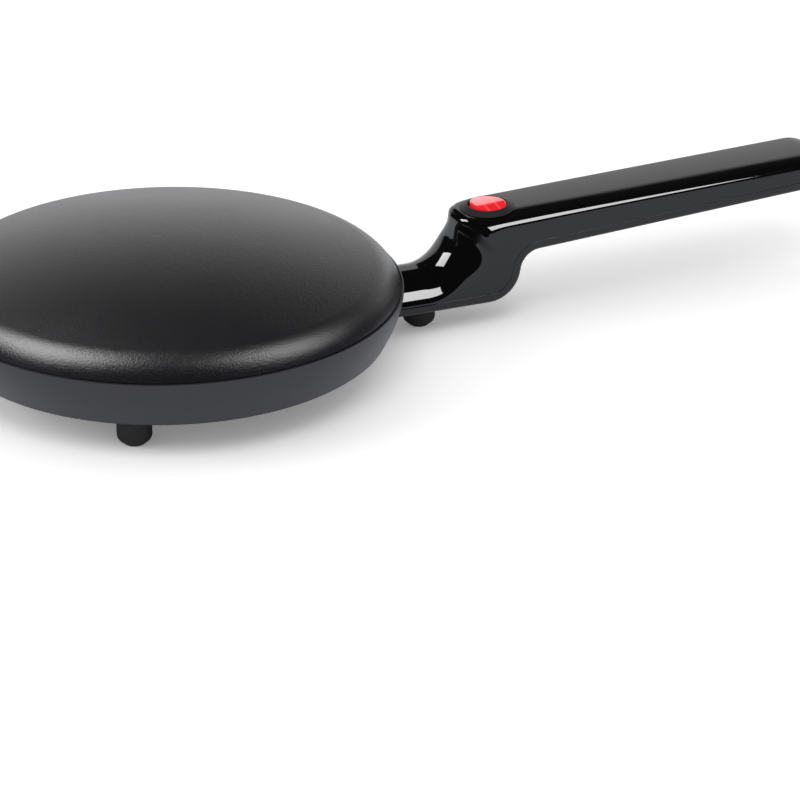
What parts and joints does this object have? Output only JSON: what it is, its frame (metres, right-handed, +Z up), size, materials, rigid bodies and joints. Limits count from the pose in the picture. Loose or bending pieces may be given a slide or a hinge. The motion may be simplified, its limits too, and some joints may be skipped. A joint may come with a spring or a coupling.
{
  "type": "electric crepe maker",
  "caption": "Hand-held dipping crepe maker: domed non-stick plate on a shallow grey base, cranked gloss black handle with a lit rocker switch, on rubber feet.",
  "frame": {"origin": "on the table, under the middle of the whole outline", "axes": "+X along the handle, away from the plate; +Z up"},
  "size_m": [0.418, 0.2, 0.058],
  "materials": {
    "plate_coating": "dark fine-grained non-stick coating on cast aluminium",
    "seal_rubber": "matt heat-proof rubber",
    "ring_plastic": "satin dark grey moulding",
    "cover_plastic": "matt black moulding",
    "handle_gloss": "high-gloss black moulding",
    "switch_plastic": "matt charcoal moulding",
    "lens_red": "clear red, lit from behind",
    "block_plastic": "off-white moulding",
    "plated_steel": "zinc-plated",
    "heater_sheath": "heat-tinted tube",
    "reflector_sheet": "bright sheet",
    "ceramic": "unglazed ceramic",
    "glass_sleeve": "woven glass sleeve",
    "brass_contact": "stamped strip",
    "lamp_glass": "small clear bulb",
    "lead_brown": "brown sleeve",
    "lead_grey": "grey sleeve",
    "lead_blue": "blue sleeve",
    "foot_rubber": "matt black rubber"
  },
  "bodies": {
    "appliance": {"griddle_plate": "plate_coating", "base_ring": "ring_plastic", "bottom_cover": "cover_plastic", "handle_upper_shell": "handle_gloss", "handle_lower_shell": "handle_gloss", "switch_body": "switch_plastic", "foot_left": "foot_rubber", "foot_right": "foot_rubber", "foot_neck": "foot_rubber", "heat_reflector": "reflector_sheet", "heating_element": "heater_sheath", "heater_clamps": "plated_steel", "clamp_screws": "plated_steel", "thermostat_cup": "reflector_sheet", "thermostat_base": "ceramic", "thermostat_bracket": "plated_steel", "thermostat_screws": "plated_steel", "thermal_fuse": "glass_sleeve", "fuse_clip": "plated_steel", "fuse_screw": "plated_steel", "plate_spacers": "ceramic", "plate_screws": "plated_steel", "handle_bracket": "plated_steel", "bracket_screws": "plated_steel", "handle_screws": "plated_steel", "terminal_block": "block_plastic", "terminal_screws": "brass_contact", "switch_terminals": "brass_contact", "lead_supply": "lead_brown", "lead_switched": "lead_grey", "lead_thermostat": "lead_grey", "lead_fuse": "lead_grey", "lead_return": "lead_blue", "rim_seal": "seal_rubber"},
    "rocker": {"rocker_lens": "lens_red", "rocker_carrier": "block_plastic", "rocker_plunger": "block_plastic", "rocker_spring": "plated_steel", "neon_lamp": "lamp_glass"},
    "seesaw": {"contact_seesaw": "brass_contact"}
  },
  "joints": [
    {"name": "rocker_tilt", "type": "hinge", "parent": "appliance", "child": "rocker", "pos_m": [0.04033, 0, 0.04757], "axis": [0, 1, 0], "range_deg": [-10, 0]},
    {"name": "seesaw_tilt", "type": "hinge", "parent": "appliance", "child": "seesaw", "pos_m": [0.0407, 0, 0.03857], "axis": [0, 1, 0], "range_deg": [0, 8]}
  ],
  "couplings": [
    {"joint": "seesaw_tilt", "follows": "rocker_tilt", "ratio": -0.8}
  ]
}
